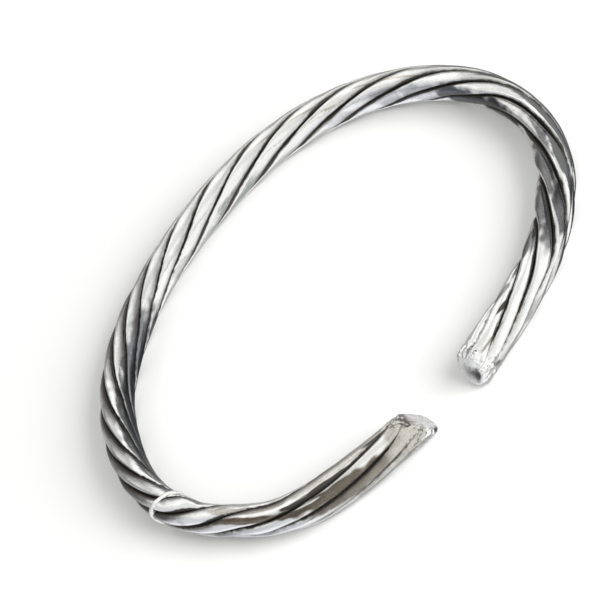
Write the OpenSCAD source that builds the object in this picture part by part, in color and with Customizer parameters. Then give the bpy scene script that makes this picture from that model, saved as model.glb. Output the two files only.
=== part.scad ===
// Twisted wire bangle: an open cuff of seven silver wires, twisted together into one oval bar
// that is pressed flat toward the wrist and soldered solid at both ends. It lies on its side
// with the opening toward -Y. The origin is on the surface that it lies on, below the middle
// of its outline.

/* [Ring] */
// From the centre to the middle of the bar, at the two sides
half_width = 32.3; // [27:0.1:38]
// From the centre to the middle of the bar at the back
back_depth = 27.9; // [23:0.1:33]
// From the centre to the middle of the bar at the opening
front_depth = 25.6; // [21:0.1:31]
// How square the half at the opening is, where 2 is an ellipse
front_squareness = 2.2; // [2:0.05:2.8]

/* [Bar] */
// Thickness of the bar, from the wrist outward
bar_thickness = 4.2; // [3.4:0.1:5.4]
// Height of the bar, along the wrist
bar_height = 4.75; // [3.8:0.05:6]
// How flat the side toward the wrist is, where 2 is round
inner_flatness = 3; // [2:0.1:4]
// How flat the outer side is, where 2 is round
outer_flatness = 2.2; // [2:0.1:3]

/* [Wires] */
// Depth of the grooves between two wires that are round
round_groove = 0.55; // [0.2:0.05:0.7]
// How square the top of a round wire is, where 2 is round
round_flatness = 3.5; // [2:0.1:5]
// Depth of the grooves between two wires that are worn flat
worn_groove = 0.2; // [0.1:0.05:0.4]
// How square the top of a worn wire is
worn_flatness = 7; // [5:0.1:9]
// Width of the slit between two wires
wire_slit = 0.1; // [0.06:0.02:0.2]
// Radius of the hollow that the wires leave along the middle of the bar
core_radius = 0.4; // [0.3:0.05:0.7]

/* [Ends] */
// Opening between the middles of the two ends
opening = 7.8; // [5:0.1:20]
// How far the middle of the opening lies to the right
opening_shift = 0.7; // [-1:0.05:1]
// Length of a solid soldered end
end_length = 4.6; // [3.5:0.1:8]
// Length over which the edge of an end is rounded off
end_rounding = 1.1; // [0.3:0.1:1.5]
// Width of the flat on an end, as a share of the bar
end_flat = 0.6; // [0.5:0.02:0.9]
// How far one edge of the left end stands past the opposite one
left_lean = 2.5; // [0:0.1:2.6]
// Which edge that is: 0 is the outer one, -90 the lower one and -180 the one toward the wrist
left_lean_angle = -90; // [-180:5:0]
// How far one edge of the right end stands past the opposite one
right_lean = 1.9; // [0:0.1:2.6]
// Which edge that is
right_lean_angle = -120; // [-180:5:0]

/* [Solder seam] */
// Where the seam crosses the bar, in degrees round the ring from the opening
seam_place = 80; // [40:1:320]
// Width of the seam along the bar
seam_width = 0.6; // [0.3:0.05:1]
// How far the seam stands proud of the wires
seam_height = 0.22; // [0.1:0.02:0.4]
// How far the seam's outer side lies past its inner side, along the bar
seam_lean = 2.7; // [0:0.1:3]
// Clearance between solder and wires
solder_clearance = 0.1; // [0.06:0.01:0.15]

/* [Hidden] */

silver = [0.82, 0.83, 0.84];
bright_silver = [0.9, 0.9, 0.89];

wires = 7;
wire_angle = 360 / wires;
wire_steps = 95;
end_steps = 4;

// The bar's course. A row holds a place round the ring, in degrees from the opening by way of
// the left side and the back. It goes on with the twist in degrees up to there, the bar's shift
// outward as a share of its thickness, its size as a share of the nominal one, and the depth of
// its grooves and the squareness of its round wires as shares of the nominal ones. The last
// column says how round the wires still are toward the wrist, from 0 where they are worn flat to
// 1 where they are as round as outside.
PLACE = 0;
TWIST = 1;
SHIFT = 2;
SIZE = 3;
GROOVE = 4;
SQUARE = 5;
ROUND = 6;
course = [
    [  0,    9,  0.02, 0.99, 0.5, 1.0, 0.2],
    [ 10,   31,  0.02, 1.01, 0.8, 1.0, 0.2],
    [ 20,   57,  0.01, 1.02, 1.0, 1.0, 0.3],
    [ 30,   75,  0.06, 1.06, 1.1, 1.0, 0.3],
    [ 40,   83,  0.18, 1.05, 1.1, 1.0, 0.3],
    [ 50,  103,  0.14, 0.91, 1.0, 0.9, 0.2],
    [ 60,  127, -0.02, 0.88, 1.0, 0.8, 0.1],
    [ 70,  170, -0.03, 0.88, 1.1, 0.7, 0.1],
    [ 80,  214,  0.00, 0.98, 1.2, 0.7,   0],
    [ 90,  252,  0.02, 1.00, 1.2, 0.7,   0],
    [105,  320,  0.02, 1.01, 1.1, 0.7,   0],
    [120,  388,  0.09, 0.96, 1.0, 0.7,   0],
    [135,  454,  0.06, 1.00, 0.9, 0.7, 0.1],
    [150,  524,  0.01, 0.97, 0.8, 0.8, 0.3],
    [165,  581, -0.03, 1.01, 0.8, 0.8, 0.4],
    [180,  637,  0.01, 1.03, 0.8, 0.8, 0.5],
    [195,  691,  0.09, 1.01, 0.9, 0.9, 0.5],
    [210,  746,  0.09, 1.00, 0.9, 0.9, 0.5],
    [225,  803,  0.04, 0.97, 0.9, 0.9, 0.5],
    [240,  860, -0.03, 0.97, 1.0, 0.9, 0.5],
    [255,  915, -0.04, 1.00, 1.1, 0.9, 0.6],
    [270,  977,  0.02, 1.00, 1.2, 1.0, 0.8],
    [285, 1015,  0.07, 1.01, 1.3, 1.1,   1],
    [300, 1077,  0.06, 1.05, 1.4, 1.1,   1],
    [315, 1146,  0.07, 1.03, 1.4, 1.1,   1],
    [330, 1205, -0.01, 1.05, 1.3, 1.0,   1],
    [340, 1235,  0.02, 1.08, 1.1, 1.0, 0.9],
    [350, 1259,  0.10, 1.08, 0.8, 1.0, 0.7],
    [360, 1281,  0.10, 1.08, 0.8, 1.0, 0.7]
];

// Places across one wire, from groove to groove as shares, closer together at the grooves
wire_places = [0, 0.06, 0.18, 0.36, 0.64, 0.82, 0.94, 1];

// One column of the course at any place, as a smooth curve through its rows
function slope(column, i) =
    let (before = course[max(i - 1, 0)], after = course[min(i + 1, len(course) - 1)])
    (after[column] - before[column]) / (after[PLACE] - before[PLACE]);
function row_before(place, i = 0) =
    i + 2 >= len(course) || course[i + 1][PLACE] > place ? i : row_before(place, i + 1);
function along(column, place) =
    let (
        i = row_before(place),
        from = course[i],
        to = course[i + 1],
        span = to[PLACE] - from[PLACE],
        t = (place - from[PLACE]) / span
    )
    from[column] * (2 * t + 1) * pow(t - 1, 2) + to[column] * (3 - 2 * t) * t * t
    + span * t * (t - 1) * (slope(column, i) * (t - 1) + slope(column, i + 1) * t);

// Rises from 0 to 1 with a soft start and a soft end
function smooth(share) =
    let (t = max(0, min(1, share)))
    t * t * (3 - 2 * t);

// Distance from the centre to the outline of an oval, in one direction
function oval_radius(direction, half_x, half_y, power) =
    pow(pow(abs(cos(direction)) / half_x, power) + pow(abs(sin(direction)) / half_y, power),
        -1 / power);

// The middle line of the bar, seen from above
function line_radius(place) =
    let (front = cos(place) > 0)
    oval_radius(place, front ? front_depth : back_depth, half_width, front ? front_squareness : 2)
    + along(SHIFT, place) * bar_thickness;
function line_point(place) = line_radius(place) * [-sin(place), -cos(place), 0];
function outward(place) =
    let (ahead = line_point(place + 0.5) - line_point(place - 0.5))
    [-ahead[1], ahead[0], 0] / norm(ahead);

// The section of the bar. Its angles are 0 outward, 90 up and 180 toward the wrist. It gets
// flatter from the outer side to the side toward the wrist.
function bar_flatness(angle) =
    outer_flatness + (inner_flatness - outer_flatness) * smooth(0.5 - 0.7 * cos(angle));
function bar_radius(place, angle) =
    along(SIZE, place)
    * oval_radius(angle, bar_thickness / 2, bar_height / 2, bar_flatness(angle));
function bar_point(place, angle, radius) =
    line_point(place) + radius * (cos(angle) * outward(place) + [0, 0, sin(angle)]);
function groove_angle(place, wire) = wire_angle * wire - along(TWIST, place);

// How far a wire's surface lies under the bar's outline, at a share of the way across the wire.
// The wires are round on the outer side, and more or less worn toward the wrist.
function relief(place, angle, share) =
    let (
        roundness = max(smooth(0.5 + 0.7 * cos(angle)), along(ROUND, place)),
        depth = worn_groove + (round_groove - worn_groove) * roundness,
        round_top = round_flatness * along(SQUARE, place),
        flatness = worn_flatness + (round_top - worn_flatness) * roundness
    )
    depth * along(GROOVE, place) * pow(abs(2 * share - 1), flatness);

// Where the ends stand round the ring, and where the wires run into them
degrees_per_mm = 180 / (PI * front_depth);
left_tip = (opening / 2 - opening_shift) * degrees_per_mm;
right_tip = 360 - (opening / 2 + opening_shift) * degrees_per_mm;
first_place = left_tip + end_length * degrees_per_mm;
last_place = right_tip - end_length * degrees_per_mm;

// A wire is a wedge of the bar, with its slits to the next wires taken off both sides
function wire_ring(place, wire) =
    let (
        start = groove_angle(place, wire),
        margin = asin(wire_slit / (along(SIZE, place) * bar_thickness)),
        width = wire_angle - 2 * margin
    )
    concat(
        [bar_point(place, start + wire_angle / 2, core_radius)],
        [for (share = wire_places)
            let (angle = start + margin + width * share)
            bar_point(place, angle, bar_radius(place, angle) - relief(place, angle, share))]
    );
function wire_rings(wire) =
    [for (step = [0 : wire_steps])
        wire_ring(first_place + (last_place - first_place) * step / wire_steps, wire)];

// The spots round a whole section, each with its wire and its share of the way across it
section_spots = [for (wire = [1 : wires], i = [0 : len(wire_places) - 2]) [wire, wire_places[i]]];

// A ring of a soldered end at a distance from its tip, where the side is 1 on the left and -1
// on the right. The grooves run out toward the tip.
function end_ring(tip, side, distance, size) =
    let (
        fade = smooth(distance / end_length),
        level = tip + side * distance * degrees_per_mm,
        full_lean = side > 0 ? left_lean : right_lean,
        lean_angle = side > 0 ? left_lean_angle : right_lean_angle
    )
    [for (spot = section_spots)
        let (
            angle = groove_angle(level, spot[0]) + wire_angle * spot[1],
            lean = full_lean / 2 * size * (1 - fade) * cos(angle - lean_angle),
            place = level - side * lean * degrees_per_mm,
            radius = bar_radius(place, angle) - fade * relief(place, angle, spot[1])
        )
        bar_point(place, angle, size * radius)];
function end_rings(tip, side) =
    let (straight = end_length - end_rounding - solder_clearance)
    concat(
        [for (step = [0 : end_steps])
            let (turn = 90 * step / end_steps)
            end_ring(tip, side, end_rounding * (1 - cos(turn)),
                     end_flat + (1 - end_flat) * sin(turn))],
        [for (step = [1 : end_steps])
            end_ring(tip, side, end_rounding + straight * step / end_steps, 1)]
    );

// A step of the seam across its width. The seam follows the wires into their grooves below and
// the bar's outline above.
seam_corners = [[1, false], [0.5, true], [-0.5, true], [-1, false]];
function seam_ring(spot) =
    let (
        degrees_per_mm = 180 / (PI * line_radius(seam_place)),
        first_angle = groove_angle(seam_place, spot[0]) + wire_angle * spot[1],
        middle = seam_place + seam_lean / 2 * cos(first_angle) * degrees_per_mm
    )
    [for (corner = seam_corners)
        let (
            place = middle + corner[0] * seam_width / 2 * degrees_per_mm,
            angle = groove_angle(place, spot[0]) + wire_angle * spot[1],
            on_top = corner[1],
            rise = on_top ? seam_height : solder_clearance - relief(place, angle, spot[1])
        )
        bar_point(place, angle, bar_radius(place, angle) + rise)];

// The surface under the bar, and the middle of its outline
left_end_rings = end_rings(left_tip, 1);
right_end_rings = end_rings(right_tip, -1);
all_points = [
    for (wire = [1 : wires], ring = wire_rings(wire)) each ring,
    for (ring = concat(left_end_rings, right_end_rings)) each ring
];
function lowest(axis) = min([for (point = all_points) point[axis]]);
function highest(axis) = max([for (point = all_points) point[axis]]);
origin = [(lowest(0) + highest(0)) / 2, (lowest(1) + highest(1)) / 2, lowest(2)];

// The strip of triangles from one ring of points to the next. Its last square is split the other
// way than the first one, so the sides of two neighbouring wires twist alike.
function strip(from, to, count) =
    [for (j = [0 : count - 1])
        let (k = (j + 1) % count)
        each j < count - 1
            ? [[from + j, to + k, from + k], [from + j, to + j, to + k]]
            : [[from + j, to + j, from + k], [to + j, to + k, from + k]]];
function middle_of(ring) = [for (point = ring) 1] * ring / len(ring);

// A bar through rings of points, closed at both ends
module bar_through(rings) {
    count = len(rings[0]);
    last = (len(rings) - 1) * count;
    first_middle = last + count;
    last_middle = first_middle + 1;
    translate(-origin)
        polyhedron(
            points = concat([for (ring = rings) each ring],
                            [middle_of(rings[0]), middle_of(rings[len(rings) - 1])]),
            faces = concat(
                [for (i = [0 : len(rings) - 2]) each strip(i * count, (i + 1) * count, count)],
                [for (j = [0 : count - 1]) [first_middle, j, (j + 1) % count]],
                [for (j = [0 : count - 1]) [last_middle, last + (j + 1) % count, last + j]]
            )
        );
}

// A loop through rings of points, each joined to the next and the last to the first
module loop_through(rings) {
    count = len(rings[0]);
    translate(-origin)
        polyhedron(
            points = [for (ring = rings) each ring],
            faces = [for (i = [0 : len(rings) - 1])
                each strip(i * count, (i + 1) % len(rings) * count, count)]
        );
}

module wire(number) {
    color(silver)
        bar_through(wire_rings(number));
}

module left_end() {
    color(bright_silver)
        bar_through(left_end_rings);
}

module right_end() {
    color(bright_silver)
        bar_through([for (i = [len(right_end_rings) - 1 : -1 : 0]) right_end_rings[i]]);
}

module solder_seam() {
    color(bright_silver)
        loop_through([for (spot = section_spots) seam_ring(spot)]);
}

wire(1);  // wire_1
wire(2);  // wire_2
wire(3);  // wire_3
wire(4);  // wire_4
wire(5);  // wire_5
wire(6);  // wire_6
wire(7);  // wire_7
left_end();
right_end();
solder_seam();
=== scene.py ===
"""A twisted wire bangle: seven silver wires, soldered at both ends, with blackened grooves.

Sizes are in millimetres until a mesh is laid in its place, and metres from there on.
A spot on the bar is named by its place, in degrees round the ring from the opening by way of
the left side, and its angle on the bar's section, with 0 outward, 90 up and 180 to the wrist.
A share across a wire runs from 0 in the groove below it to 1 in the groove above it.
"""

import math

import bpy
import numpy as np
from mathutils import Matrix, Vector, noise


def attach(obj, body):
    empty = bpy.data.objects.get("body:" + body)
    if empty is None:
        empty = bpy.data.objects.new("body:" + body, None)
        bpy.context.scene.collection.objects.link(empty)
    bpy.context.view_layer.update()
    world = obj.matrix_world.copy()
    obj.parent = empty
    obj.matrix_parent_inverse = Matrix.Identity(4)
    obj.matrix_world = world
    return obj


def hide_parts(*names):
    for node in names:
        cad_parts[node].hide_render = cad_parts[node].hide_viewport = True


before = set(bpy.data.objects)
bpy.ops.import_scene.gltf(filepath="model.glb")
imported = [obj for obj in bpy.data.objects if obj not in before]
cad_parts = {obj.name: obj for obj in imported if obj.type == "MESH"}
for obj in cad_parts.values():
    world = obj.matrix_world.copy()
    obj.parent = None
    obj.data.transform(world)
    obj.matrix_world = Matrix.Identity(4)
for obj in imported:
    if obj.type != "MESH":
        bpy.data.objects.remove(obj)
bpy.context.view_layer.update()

MM = 0.001

# The ring and the bar, as in the part's source
HALF_WIDTH = 32.3
BACK_DEPTH = 27.9
FRONT_DEPTH = 25.6
FRONT_SQUARENESS = 2.2
BAR_THICKNESS = 4.2
BAR_HEIGHT = 4.75
INNER_FLATNESS = 3.0
OUTER_FLATNESS = 2.2
ROUND_GROOVE = 0.55
ROUND_FLATNESS = 3.5
WORN_GROOVE = 0.2
WORN_FLATNESS = 7.0
WIRE_SLIT = 0.1
OPENING = 7.8
OPENING_SHIFT = 0.7
END_LENGTH = 4.6
END_ROUNDING = 1.1
END_FLAT = 0.6
LEFT_LEAN = 2.5
LEFT_LEAN_ANGLE = -90
RIGHT_LEAN = 1.9
RIGHT_LEAN_ANGLE = -120
SEAM_PLACE = 80.0
SEAM_WIDTH = 0.6
SEAM_HEIGHT = 0.22
SEAM_LEAN = 2.7
WIRES = 7
WIRE_ANGLE = 360 / WIRES

# Where the centre of the ring lies in the shared frame, as the part's source works it out
RING_CENTRE = np.array([-0.016, -1.1398, 2.5675])

# The visible skin stays this far inside the solids' outline, which leaves room for its dents
SKIN = 0.05

# The bar's course, as in the part's source: the place, the twist up to there in degrees, the
# shift outward and the size of the bar, the depth of its grooves and the squareness of its round
# wires, as shares, and how round the wires still are toward the wrist.
PLACE, TWIST, SHIFT, SIZE, GROOVE, SQUARE, ROUND = range(7)
COURSE = np.array([
    [0, 9, 0.02, 0.99, 0.5, 1.0, 0.2],
    [10, 31, 0.02, 1.01, 0.8, 1.0, 0.2],
    [20, 57, 0.01, 1.02, 1.0, 1.0, 0.3],
    [30, 75, 0.06, 1.06, 1.1, 1.0, 0.3],
    [40, 83, 0.18, 1.05, 1.1, 1.0, 0.3],
    [50, 103, 0.14, 0.91, 1.0, 0.9, 0.2],
    [60, 127, -0.02, 0.88, 1.0, 0.8, 0.1],
    [70, 170, -0.03, 0.88, 1.1, 0.7, 0.1],
    [80, 214, 0.00, 0.98, 1.2, 0.7, 0],
    [90, 252, 0.02, 1.00, 1.2, 0.7, 0],
    [105, 320, 0.02, 1.01, 1.1, 0.7, 0],
    [120, 388, 0.09, 0.96, 1.0, 0.7, 0],
    [135, 454, 0.06, 1.00, 0.9, 0.7, 0.1],
    [150, 524, 0.01, 0.97, 0.8, 0.8, 0.3],
    [165, 581, -0.03, 1.01, 0.8, 0.8, 0.4],
    [180, 637, 0.01, 1.03, 0.8, 0.8, 0.5],
    [195, 691, 0.09, 1.01, 0.9, 0.9, 0.5],
    [210, 746, 0.09, 1.00, 0.9, 0.9, 0.5],
    [225, 803, 0.04, 0.97, 0.9, 0.9, 0.5],
    [240, 860, -0.03, 0.97, 1.0, 0.9, 0.5],
    [255, 915, -0.04, 1.00, 1.1, 0.9, 0.6],
    [270, 977, 0.02, 1.00, 1.2, 1.0, 0.8],
    [285, 1015, 0.07, 1.01, 1.3, 1.1, 1],
    [300, 1077, 0.06, 1.05, 1.4, 1.1, 1],
    [315, 1146, 0.07, 1.03, 1.4, 1.1, 1],
    [330, 1205, -0.01, 1.05, 1.3, 1.0, 1],
    [340, 1235, 0.02, 1.08, 1.1, 1.0, 0.9],
    [350, 1259, 0.10, 1.08, 0.8, 1.0, 0.7],
    [360, 1281, 0.10, 1.08, 0.8, 1.0, 0.7],
])


def along(column, place):
    """One column of the course at any place, as a smooth curve through its rows."""
    places, values = COURSE[:, PLACE], COURSE[:, column]
    before = np.r_[0, np.arange(len(places) - 1)]
    after = np.r_[np.arange(1, len(places)), len(places) - 1]
    slopes = (values[after] - values[before]) / (places[after] - places[before])
    i = np.clip(np.searchsorted(places, place, side="right") - 1, 0, len(places) - 2)
    span = places[i + 1] - places[i]
    t = (place - places[i]) / span
    return (
        values[i] * (2 * t + 1) * (t - 1) ** 2
        + values[i + 1] * (3 - 2 * t) * t**2
        + span * t * (t - 1) * (slopes[i] * (t - 1) + slopes[i + 1] * t)
    )


def smooth(share):
    """Leads a share softly from 0 to 1, and holds it there beyond them."""
    t = np.clip(share, 0, 1)
    return t * t * (3 - 2 * t)


def sine(degrees):
    return np.sin(np.radians(degrees))


def cosine(degrees):
    return np.cos(np.radians(degrees))


def oval_radius(direction, half_x, half_y, power):
    """Distance from the centre to the outline of an oval, in one direction."""
    across = np.abs(cosine(direction) / half_x) ** power
    return (across + np.abs(sine(direction) / half_y) ** power) ** (-1 / power)


def line_point(place):
    """A point of the bar's middle line."""
    front = cosine(place) > 0
    radius = oval_radius(
        place,
        np.where(front, FRONT_DEPTH, BACK_DEPTH),
        HALF_WIDTH,
        np.where(front, FRONT_SQUARENESS, 2),
    )
    radius = radius + along(SHIFT, place) * BAR_THICKNESS
    return np.stack([-radius * sine(place), -radius * cosine(place), 0 * radius], -1)


def outward(place):
    """The direction away from the wrist, level and square to the bar."""
    ahead = line_point(place + 0.5) - line_point(place - 0.5)
    ahead = ahead / np.linalg.norm(ahead, axis=-1, keepdims=True)
    return np.stack([-ahead[..., 1], ahead[..., 0], 0 * ahead[..., 0]], -1)


def outer_share(angle):
    """From 0 toward the wrist to 1 on the outer side, with a soft change over the bar's edges."""
    return smooth(0.5 + 0.7 * cosine(angle))


def bar_radius(place, angle):
    """Half the bar's width, which is flatter toward the wrist."""
    flatness = INNER_FLATNESS + (OUTER_FLATNESS - INNER_FLATNESS) * outer_share(angle)
    return along(SIZE, place) * oval_radius(angle, BAR_THICKNESS / 2, BAR_HEIGHT / 2, flatness)


def bar_point(place, angle, radius):
    """A point in the shared frame, in millimetres."""
    up = np.array([0, 0, 1.0])
    aside = cosine(angle)[..., None] * outward(place) + sine(angle)[..., None] * up
    return line_point(place) + radius[..., None] * aside + RING_CENTRE


def groove_angle(place, wire):
    """Where the groove below a wire lies on the bar's section."""
    return WIRE_ANGLE * wire - along(TWIST, place)


# Where the wires bend off their even course: the places where the bend begins, is full, is still
# full and ends, the angle that it spreads from, how far it goes in degrees, and how straight the
# wires stay in its middle
BENDS = {
    "front left": (45, 56, 74, 84, 55, 15, 0),
    "back": (145, 165, 240, 255, 140, 8, 0.5),
    "right": (278, 292, 315, 328, 88, 14, 0.5),
}


def bend(place, angle):
    """How far a groove lies off its even course at that place, in degrees."""
    off = 0 * place
    for begins, full, still_full, ends, height, far, straight in BENDS.values():
        coming = smooth((place - begins) / (full - begins))
        going = smooth((ends - place) / (ends - still_full))
        aside = angle - height
        off = off + far * coming * going * (sine(2 * aside) - straight * sine(4 * aside))
    return off


def roundness(place, angle):
    """From 0 where the wires are worn flat to 1 where they are round."""
    return np.maximum(outer_share(angle), along(ROUND, place))


def relief(place, angle, share):
    """How far a wire's surface lies under the bar's outline."""
    as_round = roundness(place, angle)
    depth = WORN_GROOVE + (ROUND_GROOVE - WORN_GROOVE) * as_round
    round_top = ROUND_FLATNESS * along(SQUARE, place)
    flatness = WORN_FLATNESS + (round_top - WORN_FLATNESS) * as_round
    return depth * along(GROOVE, place) * np.abs(2 * share - 1) ** flatness


# Degrees round the ring to a millimetre at the opening, the places of the two tips, and the places
# where the wires begin and end
DEGREES_PER_MM = 180 / (math.pi * FRONT_DEPTH)
LEFT_TIP = (OPENING / 2 - OPENING_SHIFT) * DEGREES_PER_MM
RIGHT_TIP = 360 - (OPENING / 2 + OPENING_SHIFT) * DEGREES_PER_MM
FIRST_PLACE = LEFT_TIP + END_LENGTH * DEGREES_PER_MM
LAST_PLACE = RIGHT_TIP - END_LENGTH * DEGREES_PER_MM

# Degrees round the ring to a millimetre at the seam
SEAM_DEGREES_PER_MM = 180 / (math.pi * np.linalg.norm(line_point(SEAM_PLACE)))

# The grooves at each place: how far their black reaches up the sides of the wires in millimetres,
# on the bar's outer side and toward the wrist, how dark the soft stain and painted shade is that
# lies below each groove, and how strong the painted highlight line is just below it
BLACK_PLACE, OUTER_BLACK, INNER_BLACK, STAIN_AND_SHADE, HIGHLIGHT_LINE = range(5)
GROOVES = np.array([
    [0, 0.00, 0.00, 0.0, 0.0],
    [12, 0.06, 0.06, 0.1, 0.0],
    [20, 0.16, 0.14, 0.2, 0.0],
    [30, 0.22, 0.24, 0.4, 0.0],
    [40, 0.20, 0.24, 0.5, 0.0],
    [50, 0.10, 0.14, 0.4, 0.0],
    [60, 0.14, 0.12, 0.5, 0.0],
    [70, 0.25, 0.12, 0.7, 0.0],
    [80, 0.34, 0.08, 0.9, 0.0],
    [90, 0.38, 0.06, 1.0, 0.0],
    [120, 0.34, 0.05, 1.0, 0.0],
    [135, 0.28, 0.06, 0.9, 0.0],
    [150, 0.20, 0.10, 0.7, 0.0],
    [165, 0.18, 0.16, 0.5, 0.0],
    [190, 0.22, 0.22, 0.4, 0.0],
    [240, 0.24, 0.22, 0.5, 0.0],
    [255, 0.24, 0.20, 0.4, 0.0],
    [266, 0.26, 0.22, 0.1, 0.5],
    [285, 0.27, 0.27, 0.0, 0.9],
    [300, 0.23, 0.25, 0.0, 1.0],
    [315, 0.18, 0.20, 0.1, 0.6],
    [330, 0.12, 0.14, 0.35, 0.0],
    [345, 0.03, 0.07, 0.3, 0.0],
    [360, 0.00, 0.00, 0.0, 0.0],
])


def beside_grooves(place, angle):
    """How far the black reaches, and how strong the stain with its painted shade and the painted
    highlight line below it are.
    """
    outer, inner, stain_and_shade, painted_highlight = (
        np.interp(place, GROOVES[:, BLACK_PLACE], GROOVES[:, column])
        for column in (OUTER_BLACK, INNER_BLACK, STAIN_AND_SHADE, HIGHLIGHT_LINE)
    )
    return inner + (outer - inner) * outer_share(angle), stain_and_shade, painted_highlight


# Patches, one over another, mostly painted reflections and painted shade on the silver and partly
# tarnish: the place and angle of the middle, half the length and half the height in degrees, how
# dark it is, and how brown, where 0 is blue-grey and 1 is brown. One that is darker than 1 is
# black, like a groove, and one of 0 leaves the silver bare and bright.
PATCHES = {
    # These two darken the highlights: painted shade.
    "left back painted shade": (137, 95, 17, 60, 0.26, 0.4),
    "right top painted shade": (265, 90, 10, 45, 0.3, 0.4),
    "left side": (90, 35, 16, 28, 0.4, 0.5),
    "left crests": (100, 90, 22, 22, 0.46, 0.45),
    "left upper side": (106, 170, 22, 47, 0.52, 0.3),
    "left bluish end": (131, 175, 13, 50, 0.7, 0.1),
    "upper bluish spot": (158, 197, 5, 20, 0.35, 0.1),
    "lower bluish spot": (153, 138, 5, 12, 0.3, 0.1),
    "first lavender spot": (217, 180, 4, 22, 0.3, 0.0),
    "second lavender spot": (232, 160, 5, 35, 0.4, 0.0),
    "third lavender spot": (242, 165, 5, 40, 0.38, 0.0),
    "back corner": (253, 165, 7, 42, 0.82, 0.15),
    "right upper side": (268, 165, 11, 42, 0.96, 0.35),
    "right cream side": (270, 106, 13, 13, 0.25, 0.7),
    "right brown side": (262, 68, 9, 14, 0.42, 0.7),
    "right flats": (296, 99, 18, 31, 0.74, 0.4),
    "right cream spot": (283, 108, 8, 9, 0.35, 0.6),
    "right outer flats": (308, 48, 8, 38, 0.78, 0.4),
    "right low flats": (303, -10, 14, 24, 0.64, 0.4),
    "right low edge": (319, -25, 10, 12, 0.35, 0.3),
    "right grey wedge": (316, 112, 6, 11, 0.75, 0.4),
    "front left side": (23, 22, 20, 32, 0.65, 0.9),
    "front left middle": (36, 50, 14, 14, 0.8, 0.9),
    "front left low side": (18, -26, 14, 18, 0.35, 0.7),
    "front left top": (30, 105, 24, 18, 0.35, 0.75),
    "first wide groove": (33, 81, 7, 6, 1.2, 1.0),
    "second wide groove": (40, 73, 7, 6, 1.2, 1.0),
    "front left bright spot": (40, 57, 3, 3, 0.0, 0.5),
    "front left bright edge": (41, -12, 9, 9, 0.0, 0.5),
    "front left low grey": (58, -14, 9, 14, 0.35, 0.3),
    "greenish haze": (56, 96, 12, 14, 0.45, 0.8),
    "brown haze": (55, 60, 10, 14, 0.74, 1.0),
    "brown specks": (57, 66, 8, 6, 0.85, 1.0),
    "left tip": (13, 40, 6, 75, 0.42, 0.8),
    "left tip blotches": (19, 104, 4, 5, 0.85, 0.6),
    "left tip edge": (10, 72, 2, 9, 0.6, 0.8),
    "right tip low side": (332, -24, 14, 12, 0.35, 0.3),
    "right tip grey rise": (329, 107, 3, 7, 0.6, 0.4),
    "right tip wide groove": (331, 81, 4, 5, 1.15, 0.8),
    "right tip green stain": (340, 54, 5, 4, 0.6, 0.9),
    "right tip cream stain": (331, 27, 3, 5, 0.35, 1.0),
    "right tip top stain": (346, 90, 2, 5, 0.6, 0.5),
    "right tip dark spot": (344, -18, 1, 4, 0.7, 0.5),
    "back haze": (164, 142, 7, 12, 0.2, 0.1),
    "back top edge": (206, 108, 14, 3, 0.35, 0.9),
    "further back top edge": (236, 100, 12, 4, 0.3, 0.9),
}

# How brown the silver is that lies outside the patches
PLAIN_BROWN = 0.5

# The edge of a patch: the size of its waves in millimetres and their height as a share of the
# patch, and how wide the edge is as such a share
PATCH_WAVES = (1.2, 0.35)
PATCH_EDGE = 0.5


def unevenness(points, size, height):
    """Soft bumps and hollows of that size, as left by filing and polishing by hand."""
    return height * np.array([noise.noise(Vector(point / size)) for point in points])


def off_middle(place, angle, middle, height, half_length, half_height):
    """How far a spot lies from the middle of a patch, where 1 is the patch's outline."""
    turn = (angle - height + 180) % 360 - 180
    return np.hypot((place - middle) / half_length, turn / half_height)


def patched(place, angle, points):
    """How dark and how brown the patches make each spot, with uneven edges."""
    waves = unevenness(points, *PATCH_WAVES)
    dark, brown = 0 * place, PLAIN_BROWN + 0 * place
    for *patch, depth, warmth in PATCHES.values():
        share = smooth(0.5 + (1 - off_middle(place, angle, *patch) + waves) / PATCH_EDGE)
        dark = dark + (depth - dark) * share
        brown = brown + (warmth - brown) * share
    return dark, brown


# The low lump of silver beside the solder seam: its place and angle and half its length and
# height in degrees, and how far it rises in millimetres
LUMP = (74, 120, 5, 40)
LUMP_RISE = 0.35

# The size and height in millimetres of the shallow dents all over the silver, wide and small
WIDE_DENTS = (2.4, 0.04)
SMALL_DENTS = (0.9, 0.012)


def lump(place, angle):
    return LUMP_RISE * smooth(1 - off_middle(place, angle, *LUMP))


def dents(points):
    return unevenness(points, *WIDE_DENTS) + unevenness(points, *SMALL_DENTS)


def flat_grid(name, steps, spots):
    """A grid that is folded and laid later, with each point's share of its length and width."""
    bpy.ops.object.select_all(action="DESELECT")
    bpy.ops.mesh.primitive_grid_add(x_subdivisions=steps, y_subdivisions=spots, size=1)
    piece = bpy.context.object
    piece.name = piece.data.name = name
    corners = np.empty(3 * len(piece.data.vertices), np.float32)
    piece.data.vertices.foreach_get("co", corners)
    corners = corners.reshape(-1, 3).astype(float) + 0.5
    return piece, corners[:, 0], corners[:, 1]


def note(piece, name, values, kind="FLOAT"):
    """Keeps one number or one spot for each point, for the material to read."""
    piece.data.attributes.new(name, kind, "POINT")
    taken = "value" if kind == "FLOAT" else "vector"
    piece.data.attributes[name].data.foreach_set(taken, values.astype(np.float32).ravel())


# The black of the grooves. Where it reaches less than this many millimetres it breaks up. The
# breaks and its broad waves have a size in millimetres and a height as a share of its reach. Its
# soft edge is this wide in millimetres, below a groove and above it.
BREAKS_UP_UNDER = 0.2
BREAKS = (0.5, 2.5)
BLACK_WAVES = (3, 0.5)
EDGE_BELOW = 0.12
EDGE_ABOVE = 0.06

# How fast a patch that is darker than 1 spreads the black of the grooves over the wires
BLACKENING = 12

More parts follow.
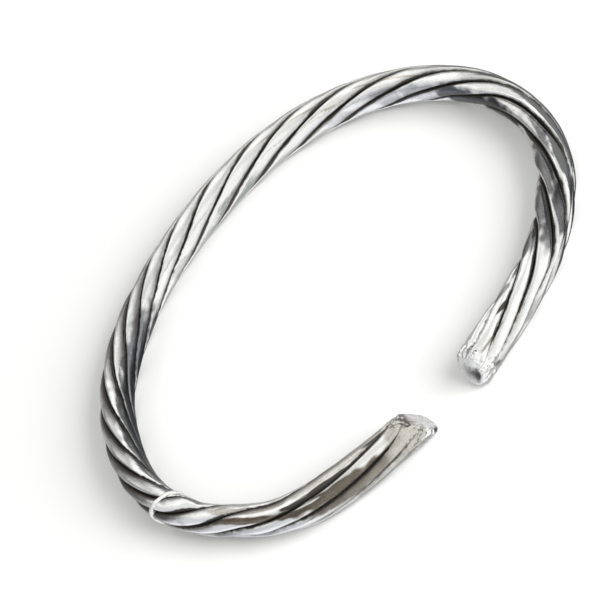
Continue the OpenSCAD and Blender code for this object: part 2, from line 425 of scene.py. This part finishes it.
# The painted highlight line below a groove, where the tarnish and the painted shade are cleared:
# the share across the wire at its middle, how far it reaches to either side and how wide its soft
# edge is
HIGHLIGHT_LINE_MIDDLE = 0.84
HIGHLIGHT_LINE_REACH = 0.112
HIGHLIGHT_LINE_EDGE = 0.07

# The stain below a groove, tarnish with painted shade that darkens the wire toward the groove
# above
# it: the shares across the wire where it begins and is full, how dark and how brown it is there
STAIN_AND_SHADE_BEGINS = 0.35
STAIN_AND_SHADE_IS_FULL = 0.95
STAIN_AND_SHADE_DARK = 0.85
STAIN_AND_SHADE_BROWN = 0.7

# This many millimetres lie between the wires in the material's noises, so that each has its own
WIRES_APART = 20


def note_looks(piece, place, angle, points, share, row, fade=1, filed=0, spotted=0):
    """Notes the black, the tarnish with its painted reflections, shade and highlight lines, and
    the lie of the wires for the material.

    The grooves fade out from 1 to 0. A filed surface is dull, and the spots on it are as dark as
    spotted says.
    """
    wide = bar_radius(place, angle) * np.radians(WIRE_ANGLE)
    edge = (0.5 - np.abs(share - 0.5)) * wide
    black, stain_and_shade, painted_highlight = beside_grooves(place, angle)
    breaking = (1 - smooth(black / BREAKS_UP_UNDER)) * unevenness(points, *BREAKS)
    black = black * fade * (1 + breaking + unevenness(points, *BLACK_WAVES))
    soft = np.where(share > 0.5, EDGE_BELOW, EDGE_ABOVE)
    dark, brown = patched(place, angle, points)
    dark = np.maximum(dark, spotted)
    # A painted highlight line just below each groove lightens the wire.
    off_line = np.abs(share - HIGHLIGHT_LINE_MIDDLE)
    dark = dark * (1 - painted_highlight * fade * smooth((HIGHLIGHT_LINE_REACH - off_line) / HIGHLIGHT_LINE_EDGE))
    # The stain darkens each wire toward the groove above it: tarnish with painted shade.
    stain_and_shade = stain_and_shade * fade * smooth((share - STAIN_AND_SHADE_BEGINS) / (STAIN_AND_SHADE_IS_FULL - STAIN_AND_SHADE_BEGINS))
    blackened = BLACKENING * np.maximum(dark - 1, 0)
    note(piece, "bare", (edge * (1 - blackened) - black) / soft)
    # This holds the tarnish together with the painted reflections and shade of the patches and the
    # stain.
    note(piece, "tarnish_and_painted_shade", 1 - (1 - np.minimum(dark, 1)) * (1 - STAIN_AND_SHADE_DARK * stain_and_shade))
    note(piece, "brown", brown + (STAIN_AND_SHADE_BROWN - brown) * stain_and_shade)
    spot = np.stack([place / DEGREES_PER_MM, share * wide, WIRES_APART * row + 0 * place], -1)
    note(piece, "wire_spot", spot, "FLOAT_VECTOR")
    note(piece, "filed", filed + 0 * place)


# Points nearer than this, in millimetres, are one, and edges sharper than this stay sharp
SAME_POINT = 0.0005
SHARP_EDGE = math.radians(50)


def lay(piece, points):
    """Puts the grid's points in their places, closes it and turns its faces outward."""
    piece.data.vertices.foreach_set("co", (points * MM).astype(np.float32).ravel())
    bpy.ops.object.mode_set(mode="EDIT")
    bpy.ops.mesh.select_all(action="SELECT")
    bpy.ops.mesh.remove_doubles(threshold=SAME_POINT * MM)
    bpy.ops.mesh.fill_holes(sides=0)
    bpy.ops.mesh.normals_make_consistent(inside=False)
    bpy.ops.object.mode_set(mode="OBJECT")
    bpy.ops.object.shade_smooth_by_angle(angle=SHARP_EDGE)


# The steps of a wire's grid along it and round it
WIRE_STEPS = 576
WIRE_SPOTS = 40

# A wire's surface takes this share of the way round it, and its hidden sides take the rest. They
# go down to this distance from the bar's middle, nearer than in the solids, so that no light
# shows between the wires.
SURFACE_SHARE = 0.8
CORE_RADIUS = 0.05

# The points crowd toward the grooves by this share, and the wires run on into the soldered ends
# by this many millimetres
CROWDING = 0.6
END_OVERLAP = 0.15


def wire(number):
    """One of the seven wires, from the left end round the back to the right end."""
    name = f"wire_{number}"
    piece, length, around = flat_grid(f"silver_{name}", WIRE_STEPS, WIRE_SPOTS)
    overlap = END_OVERLAP * DEGREES_PER_MM
    place = FIRST_PLACE - overlap + (LAST_PLACE - FIRST_PLACE + 2 * overlap) * length
    margin = np.degrees(np.arcsin(WIRE_SLIT / (along(SIZE, place) * BAR_THICKNESS)))
    t = np.clip(around / SURFACE_SHARE, 0, 1)
    share = (1 - CROWDING) * t + CROWDING * (1 - cosine(180 * t)) / 2
    down = np.clip((around - SURFACE_SHARE) / (1 - SURFACE_SHARE), 0, 1)
    share = np.where(down > 0.5, 0.0, share)
    angle = groove_angle(place, number) + margin + (WIRE_ANGLE - 2 * margin) * share
    angle = angle + bend(place, angle)
    middle = groove_angle(place, number) + WIRE_ANGLE / 2
    surface = bar_radius(place, angle) - relief(place, angle, share) - SKIN
    surface = surface + lump(place, angle) + dents(bar_point(place, angle, surface))
    spot = bar_point(place, angle, surface)
    core = bar_point(place, middle, 0 * place + CORE_RADIUS)
    depth = 1 - np.abs(2 * down - 1)
    points = spot + (core - spot) * depth[:, None]
    note_looks(piece, place, angle, spot, share, number)
    lay(piece, points)
    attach(piece, "root")
    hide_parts(name)
    return piece


# The steps of an end's grid from its tip to the back of its dome, in all, and round it
TIP_STEPS = 30
END_STEPS = 70
END_SPOTS = 24 * WIRES

# An end's face is filed as far as its dome has turned by this many degrees
FILED_TURN = 45

# How dark the left end's face is, how dark the right one's is at least, and how much darker its
# dark spot is. The spot is measured in shares of the bar's half width: how far it lies outward
# and upward, half its length and height, and how wide its soft edge is.
LEFT_FACE_DARK = 0.3
RIGHT_FACE_DARK = 0.25
SPOT_DARKER = 0.7
FACE_SPOT = (0.4, -0.05, 0.46, 0.42)
FACE_SPOT_EDGE = 1

# The size and height in millimetres of the chips that filing leaves on a face, and how far the
# face stands back for them, and the size and height of the bumps of the melted solder
CHIPS = (0.7, 0.12)
CHIPPED_BACK = 0.06
MELTED = (0.5, 0.22)


def end(name, tip, side):
    """A soldered end, domed at its tip, where side is 1 on the left and -1 on the right.

    The grooves fade out from 1 where the wires begin to 0 at the tip, which leans over.
    """
    piece, length, around = flat_grid(f"silver_{name}", END_STEPS, END_SPOTS)
    turn = np.clip(length * END_STEPS / TIP_STEPS, 0, 1) * 90
    straight = np.clip((length * END_STEPS - TIP_STEPS) / (END_STEPS - TIP_STEPS), 0, 1)
    distance = END_ROUNDING * (1 - cosine(turn)) + (END_LENGTH - END_ROUNDING) * straight
    size = np.where(length == 0, 0, END_FLAT + (1 - END_FLAT) * sine(turn))
    fade = smooth(distance / END_LENGTH)
    level = tip + side * distance * DEGREES_PER_MM
    angle = groove_angle(level, 0) + 360 * around
    full_lean = LEFT_LEAN if side > 0 else RIGHT_LEAN
    lean_angle = LEFT_LEAN_ANGLE if side > 0 else RIGHT_LEAN_ANGLE
    lean = full_lean / 2 * size * (1 - fade) * cosine(angle - lean_angle)
    place = level - side * lean * DEGREES_PER_MM
    share = (around * WIRES) % 1.0
    radius = size * (bar_radius(place, angle) - fade * relief(place, angle, share) - SKIN)
    filed = 1 - smooth(turn / FILED_TURN)
    chips = CHIPPED_BACK + unevenness(bar_point(place, angle, radius), *CHIPS)
    place = place + side * filed * chips * DEGREES_PER_MM
    points = bar_point(place, angle, radius)
    melted = (1 - fade) * (unevenness(points, *MELTED) - MELTED[1] / 2)
    points = bar_point(place, angle, radius + size * (dents(points) + melted))
    outward_by, upward_by, half_length, half_height = FACE_SPOT
    off_spot = np.hypot((size * cosine(angle) - outward_by) / half_length,
                        (size * sine(angle) - upward_by) / half_height)
    right_face = RIGHT_FACE_DARK + SPOT_DARKER * smooth(0.5 + (1 - off_spot) / FACE_SPOT_EDGE)
    spotted = filed * np.where(side > 0, LEFT_FACE_DARK, right_face)
    row = np.floor(around * WIRES)
    note_looks(piece, place, angle, points, share, row, fade, filed, spotted)
    lay(piece, points)
    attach(piece, "root")
    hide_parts(name)
    return piece


# The steps of the seam's grid round the bar and across the seam
SEAM_STEPS = 30 * WIRES
SEAM_SPOTS = 12

# The seam goes this far down into the wires, in millimetres, and its sides rise this steeply. It
# is this many times as wide as in the solids, give or take its lumps, which have a size in
# millimetres and a height as a share.
SEAM_ROOT = 0.1
SEAM_STEEPNESS = 0.6
SEAM_WIDER = 1.2
SEAM_LUMPS = (0.5, 0.4)

# How filed the seam is, and how bare, which is far from the black of any groove
SEAM_FILED = 0.5
WHOLLY_BARE = 9

# The circle and the length in millimetres on which the seam's noises are read
SEAM_CIRCLE = 2
SEAM_LENGTH = 20


def seam():
    """The raised line of solder that runs round the bar and leans."""
    piece, around, across = flat_grid("silver_solder_seam", SEAM_STEPS, SEAM_SPOTS)
    first_angle = groove_angle(SEAM_PLACE, 0) + 360 * around
    circle = np.stack([cosine(first_angle), sine(first_angle), 0 * around], -1)
    lumps = SEAM_WIDER + unevenness(SEAM_CIRCLE * circle, *SEAM_LUMPS)
    middle = SEAM_PLACE + SEAM_LEAN / 2 * cosine(first_angle) * SEAM_DEGREES_PER_MM
    place = middle + lumps * SEAM_WIDTH / 2 * cosine(360 * across) * SEAM_DEGREES_PER_MM
    angle = groove_angle(place, 0) + 360 * around
    angle = angle + bend(place, angle)
    share = (around * WIRES) % 1.0
    bottom = bar_radius(place, angle) - relief(place, angle, share) - SEAM_ROOT
    top = bar_radius(place, angle) + SEAM_HEIGHT - SKIN
    lift = np.clip(0.5 + SEAM_STEEPNESS * sine(360 * across), 0, 1)
    points = bar_point(place, angle, bottom + (top - bottom) * lift)
    note(piece, "bare", WHOLLY_BARE + 0 * place)
    note(piece, "tarnish_and_painted_shade", 0 * place)
    note(piece, "filed", SEAM_FILED + 0 * place)
    note(piece, "brown", PLAIN_BROWN + 0 * place)
    spot = np.stack([across, around * SEAM_LENGTH, 0 * place], -1)
    note(piece, "wire_spot", spot, "FLOAT_VECTOR")
    lay(piece, points)
    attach(piece, "root")
    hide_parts("solder_seam")
    return piece


def linear(shade):
    """A colour as it looks on a picture, from 0 to 255, as the light it stands for (sRGB)."""
    shade = np.array(shade) / 255
    return tuple(np.where(shade < 0.04, shade / 12.92, ((shade + 0.055) / 1.055) ** 2.4)) + (1,)


def give(tree, value, socket):
    """Sets a node's input to a value, or links it to another node's output."""
    if isinstance(value, bpy.types.NodeSocket):
        tree.links.new(value, socket)
    else:
        socket.default_value = value


def add(tree, kind, **settings):
    """A new node. A setting is a property of the node, or a value or link for an input."""
    node = tree.nodes.new(kind)
    for name, value in settings.items():
        if hasattr(node, name):
            setattr(node, name, value)
            continue
        name = name.replace("_", " ")
        matching = [socket for socket in node.inputs if socket.name == name and socket.enabled]
        give(tree, value, matching[0])
    return node


def combine(tree, operation, first, second):
    """The sum, product or other result of two values or links."""
    node = tree.nodes.new("ShaderNodeMath")
    node.operation = operation
    give(tree, first, node.inputs[0])
    give(tree, second, node.inputs[1])
    return node.outputs[0]


def total(tree, first, *others):
    """The sum of several values or links."""
    for other in others:
        first = combine(tree, "ADD", first, other)
    return first


def times(tree, value, factor):
    return combine(tree, "MULTIPLY", value, factor)


def mixed(tree, share, first, second):
    """The first colour where the share is 0 and the second where it is 1."""
    node = tree.nodes.new("ShaderNodeMix")
    node.data_type = "RGBA"
    for value, name in ((share, "Factor"), (first, "A"), (second, "B")):
        give(tree, value, node.inputs[name])
    return node.outputs["Result"]


def noise_at(tree, spot, waves, detail):
    """Noise that runs from 0 to 1, with that many waves a millimetre each way."""
    lying = add(tree, "ShaderNodeMapping", Vector=spot, Scale=waves)
    cloud = add(tree, "ShaderNodeTexNoise", Vector=lying.outputs["Vector"], Scale=1, Detail=detail)
    return cloud.outputs["Fac"]


def between(tree, value, low, high, first=0, last=1):
    """Leads a value softly from the first number to the last between its low and high."""
    node = tree.nodes.new("ShaderNodeMapRange")
    node.interpolation_type = "SMOOTHSTEP"
    names = ("Value", "From Min", "From Max", "To Min", "To Max")
    for name, given in zip(names, (value, low, high, first, last)):
        give(tree, given, node.inputs[name])
    return node.outputs["Result"]


def attribute(tree, name, output="Fac"):
    return add(tree, "ShaderNodeAttribute", attribute_name=name).outputs[output]


def new_material(name):
    material = bpy.data.materials.new(name)
    material.use_nodes = True
    return material, material.node_tree


SILVER = (0.955, 0.96, 0.955, 1)
YELLOWED = (0.97, 0.91, 0.80, 1)
BLACK = (0.052, 0.048, 0.042, 1)
BLUE_GREY = (0.047, 0.060, 0.090, 1)
BROWN = (0.088, 0.065, 0.042, 1)

# Silver that isn't dark is yellowed too from this much brown on, which warms the painted
# reflections and shade of the patches as well as the tarnish
YELLOWED_FROM = 0.6

# The noises of the silver. Each has its waves a millimetre along a wire, across it and from wire
# to wire, and its detail.
STREAKS = ((0.25, 4, 1), 3)
CLOUDS = ((0.5, 0.8, 1), 4)
GRAIN = ((3, 5, 1), 4)
RAGGED_BLACK = ((1.2, 2.5, 1), 4)

# Nearly all of a noise lies between these
NOISE_RANGE = (0.3, 0.7)
RAGGED_RANGE = (0.25, 0.75)

# By how much each noise darkens or lightens the silver, and moves the edge of the black
STREAKS_DARK = 0.05
CLOUDS_DARK = 0.1
GRAIN_DARK = 0.08
RAGGED_BY = 0.6

# How strongly the noises show, and how much less so on the tarnish and the painted shade
NOISES_SHOW = 0.5
NOISES_HIDDEN = 0.25

# The roughness of polished silver, and how much rougher it is where tarnish and painted shade
# darken it, where it is black and where it is filed
POLISHED = (0.08, 0.16)
TARNISH_AND_SHADE_ROUGHER = 0.14
BLACK_ROUGHER = 0.3
FILED_ROUGHER = 0.35

# How metallic the black is, and how much less metallic a filed surface looks
BLACK_METALLIC = 0.5
FILED_LESS_METALLIC = 0.4

# The fine relief of the streaks: how high the grain stands in it, its height in millimetres and
# how strongly it shows
GRAIN_RELIEF = 0.6
RELIEF_HEIGHT = 0.03
RELIEF_STRENGTH = 0.8


def silver_material():
    """Worn silver, tarnished and painted with reflections, shade and highlight lines, black and
    filed as note_looks has noted.
    """
    material, tree = new_material("worn_silver")
    shader = tree.nodes["Principled BSDF"]
    spot = attribute(tree, "wire_spot", "Vector")
    tarnish_and_painted_shade = attribute(tree, "tarnish_and_painted_shade")
    brown = attribute(tree, "brown")
    filed = attribute(tree, "filed")
    streaks = noise_at(tree, spot, *STREAKS)
    grain = noise_at(tree, spot, *GRAIN)
    uneven = total(
        tree,
        between(tree, streaks, *NOISE_RANGE, -STREAKS_DARK, STREAKS_DARK),
        between(tree, noise_at(tree, spot, *CLOUDS), *NOISE_RANGE, -CLOUDS_DARK, CLOUDS_DARK),
        between(tree, grain, *NOISE_RANGE, -GRAIN_DARK, GRAIN_DARK),
    )
    strength = total(tree, NOISES_SHOW, times(tree, tarnish_and_painted_shade, -NOISES_HIDDEN), filed)
    dark = between(tree, total(tree, tarnish_and_painted_shade, times(tree, uneven, strength)), 0, 1)
    light = mixed(tree, between(tree, brown, YELLOWED_FROM, 1), SILVER, YELLOWED)
    colour = mixed(tree, dark, light, mixed(tree, brown, BLUE_GREY, BROWN))
    ragged = noise_at(tree, spot, *RAGGED_BLACK)
    ragged = between(tree, ragged, *RAGGED_RANGE, -RAGGED_BY, RAGGED_BY)
    bare = between(tree, total(tree, attribute(tree, "bare"), ragged), -1, 1)
    rough = total(
        tree,
        between(tree, grain, *NOISE_RANGE, *POLISHED),
        times(tree, dark, TARNISH_AND_SHADE_ROUGHER),
        between(tree, bare, 0, 1, BLACK_ROUGHER, 0),
        times(tree, filed, FILED_ROUGHER),
    )
    metallic = total(
        tree,
        between(tree, bare, 0, 1, BLACK_METALLIC, 1),
        times(tree, filed, -FILED_LESS_METALLIC),
    )
    height = total(tree, streaks, times(tree, grain, GRAIN_RELIEF))
    bump = add(tree, "ShaderNodeBump", Height=height, Distance=RELIEF_HEIGHT * MM,
               Strength=RELIEF_STRENGTH)
    give(tree, mixed(tree, bare, BLACK, colour), shader.inputs["Base Color"])
    give(tree, rough, shader.inputs["Roughness"])
    give(tree, metallic, shader.inputs["Metallic"])
    give(tree, bump.outputs["Normal"], shader.inputs["Normal"])
    return material


pieces = [wire(number) for number in range(1, WIRES + 1)]
pieces += [end("left_end", LEFT_TIP, 1), end("right_end", RIGHT_TIP, -1), seam()]
silver = silver_material()
for piece in pieces:
    piece.data.materials.append(silver)


# The camera: how many degrees it looks down and is turned on its axis, its lens and its sensor,
# where it stands in millimetres, and from where to where it sees in metres
LOOKS_DOWN = math.radians(43)
TURNED = math.radians(45.9)
LENS = 222.28
SENSOR = 36
CAMERA_PLACE = Vector((-2.985, -328.056, 310.748))
SEES_FROM = 0.01
SEES_TO = 20


def camera():
    """Looks down at the bangle from the front, with the picture turned on its axis."""
    back = Vector((0, -math.cos(LOOKS_DOWN), math.sin(LOOKS_DOWN)))
    right = Vector((1, 0, 0))
    up = back.cross(right)
    across = right * math.cos(TURNED) - up * math.sin(TURNED)
    upward = right * math.sin(TURNED) + up * math.cos(TURNED)
    data = bpy.data.cameras.new("camera")
    data.sensor_width = SENSOR
    data.lens = LENS
    data.clip_start = SEES_FROM
    data.clip_end = SEES_TO
    seen_from = bpy.data.objects.new("camera", data)
    bpy.context.scene.collection.objects.link(seen_from)
    turned = Matrix((across, upward, back)).transposed().to_4x4()
    seen_from.matrix_world = Matrix.Translation(CAMERA_PLACE * MM) @ turned
    bpy.context.scene.camera = seen_from


# The floor's width in metres, its shade and its roughness
FLOOR_WIDTH = 6
FLOOR_COLOUR = (0.8, 0.8, 0.8, 1)
FLOOR_ROUGHNESS = 0.9


def floor():
    """A plain pale floor, which the silver doesn't mirror."""
    bpy.ops.object.select_all(action="DESELECT")
    bpy.ops.mesh.primitive_plane_add(size=FLOOR_WIDTH)
    ground = bpy.context.object
    ground.name = "floor"
    ground.visible_glossy = False
    material, tree = new_material("pale_floor")
    shader = tree.nodes["Principled BSDF"]
    shader.inputs["Base Color"].default_value = FLOOR_COLOUR
    shader.inputs["Roughness"].default_value = FLOOR_ROUGHNESS
    ground.data.materials.append(material)


# What the silver mirrors: how bright it is as a whole, its colour between the panels, and the
# soft-edged panels, one over another. A panel has a direction in degrees from the back by way of
# the right, a height over the horizon, half its width and height, the width of its soft edge, and
# its colour as it looks on a picture.
BRIGHTNESS = 1.08
SURROUNDINGS = (205, 205, 203)
PANELS = {
    "ceiling": (0, 90, 60, 60, 30, (224, 224, 220)),
    "table": (0, -90, 40, 40, 25, (185, 186, 184)),
    "front": (180, 5, 55, 60, 20, (242, 242, 240)),
    "window": (128, 0, 30, 60, 8, (250, 250, 248)),
    "left low": (-95, -40, 35, 18, 12, (240, 240, 244)),
    "left side": (-90, 5, 28, 30, 14, (206, 207, 212)),
    "back left": (-40, 8, 14, 24, 14, (148, 149, 150)),
    "back low": (10, -45, 50, 22, 14, (158, 157, 154)),
    "back": (0, 0, 28, 32, 14, (168, 166, 162)),
    "right wall": (60, -2, 38, 52, 8, (114, 115, 115)),
    "right low": (70, -45, 32, 27, 12, (84, 86, 88)),
    "ceiling light": (0, 48, 34, 12, 10, (252, 252, 250)),
    "far left frame": (-125, 15, 4, 35, 5, (150, 140, 130)),
    "front low": (176, -55, 6, 20, 6, (150, 155, 150)),
}

# What a panel's group of nodes takes in
PANEL_INPUTS = {
    "Behind": "NodeSocketColor",
    "Panel": "NodeSocketColor",
    "Turn": "NodeSocketVector",
    "Half Width": "NodeSocketFloat",
    "Half Height": "NodeSocketFloat",
    "Edge": "NodeSocketFloat",
}


def panel_group():
    """Lays one panel over the colours behind it."""
    group = bpy.data.node_groups.new("soft_panel", "ShaderNodeTree")
    for name, kind in PANEL_INPUTS.items():
        group.interface.new_socket(name, in_out="INPUT", socket_type=kind)
    group.interface.new_socket("Color", in_out="OUTPUT", socket_type="NodeSocketColor")
    given = add(group, "NodeGroupInput").outputs
    direction = add(group, "ShaderNodeTexCoord").outputs["Generated"]
    turned = add(group, "ShaderNodeVectorRotate", rotation_type="EULER_XYZ", invert=True,
                 Vector=direction, Rotation=given["Turn"])
    apart = add(group, "ShaderNodeSeparateXYZ", Vector=turned.outputs["Vector"])
    half_edge = times(group, given["Edge"], 0.5)
    masks = []
    for axis, half in (("X", given["Half Width"]), ("Z", given["Half Height"])):
        aside = combine(group, "ARCTAN2", apart.outputs[axis], apart.outputs["Y"])
        away = combine(group, "ABSOLUTE", aside, 0)
        outer = total(group, half, half_edge)
        inner = combine(group, "SUBTRACT", half, half_edge)
        masks.append(between(group, away, outer, inner))
    colour = mixed(group, times(group, *masks), given["Behind"], given["Panel"])
    taken = group.nodes.new("NodeGroupOutput")
    give(group, colour, taken.inputs["Color"])
    return group


def studio():
    """Surrounds the bangle with the panels."""
    world = bpy.data.worlds.new("studio")
    bpy.context.scene.world = world
    world.use_nodes = True
    tree = world.node_tree
    group = panel_group()
    behind = linear(SURROUNDINGS)
    for name, (direction, height, half_width, half_height, edge, shade) in PANELS.items():
        panel = tree.nodes.new("ShaderNodeGroup")
        panel.node_tree = group
        panel.label = name
        turn = (math.radians(height), 0, -math.radians(direction))
        give(tree, behind, panel.inputs["Behind"])
        give(tree, linear(shade), panel.inputs["Panel"])
        give(tree, turn, panel.inputs["Turn"])
        give(tree, math.radians(half_width), panel.inputs["Half Width"])
        give(tree, math.radians(half_height), panel.inputs["Half Height"])
        give(tree, math.radians(edge), panel.inputs["Edge"])
        behind = panel.outputs["Color"]
    background = tree.nodes["Background"]
    give(tree, behind, background.inputs["Color"])
    give(tree, BRIGHTNESS, background.inputs["Strength"])


# The soft light: where it hangs and how broad it is in metres, and its power in watts
LIGHT_PLACE = Vector((0.42, -0.45, 0.3))
LIGHT_WIDTH = 0.5
LIGHT_POWER = 8


def soft_light():
    """A broad light over the floor, which the silver doesn't mirror."""
    data = bpy.data.lights.new("soft_light", "AREA")
    data.size = LIGHT_WIDTH
    data.energy = LIGHT_POWER
    light = bpy.data.objects.new("soft_light", data)
    light.location = LIGHT_PLACE
    light.rotation_euler = (-LIGHT_PLACE).to_track_quat("-Z", "Y").to_euler()
    light.visible_glossy = False
    light.visible_camera = False
    bpy.context.scene.collection.objects.link(light)


camera()
floor()
studio()
soft_light()
bpy.context.scene.view_settings.view_transform = "Standard"
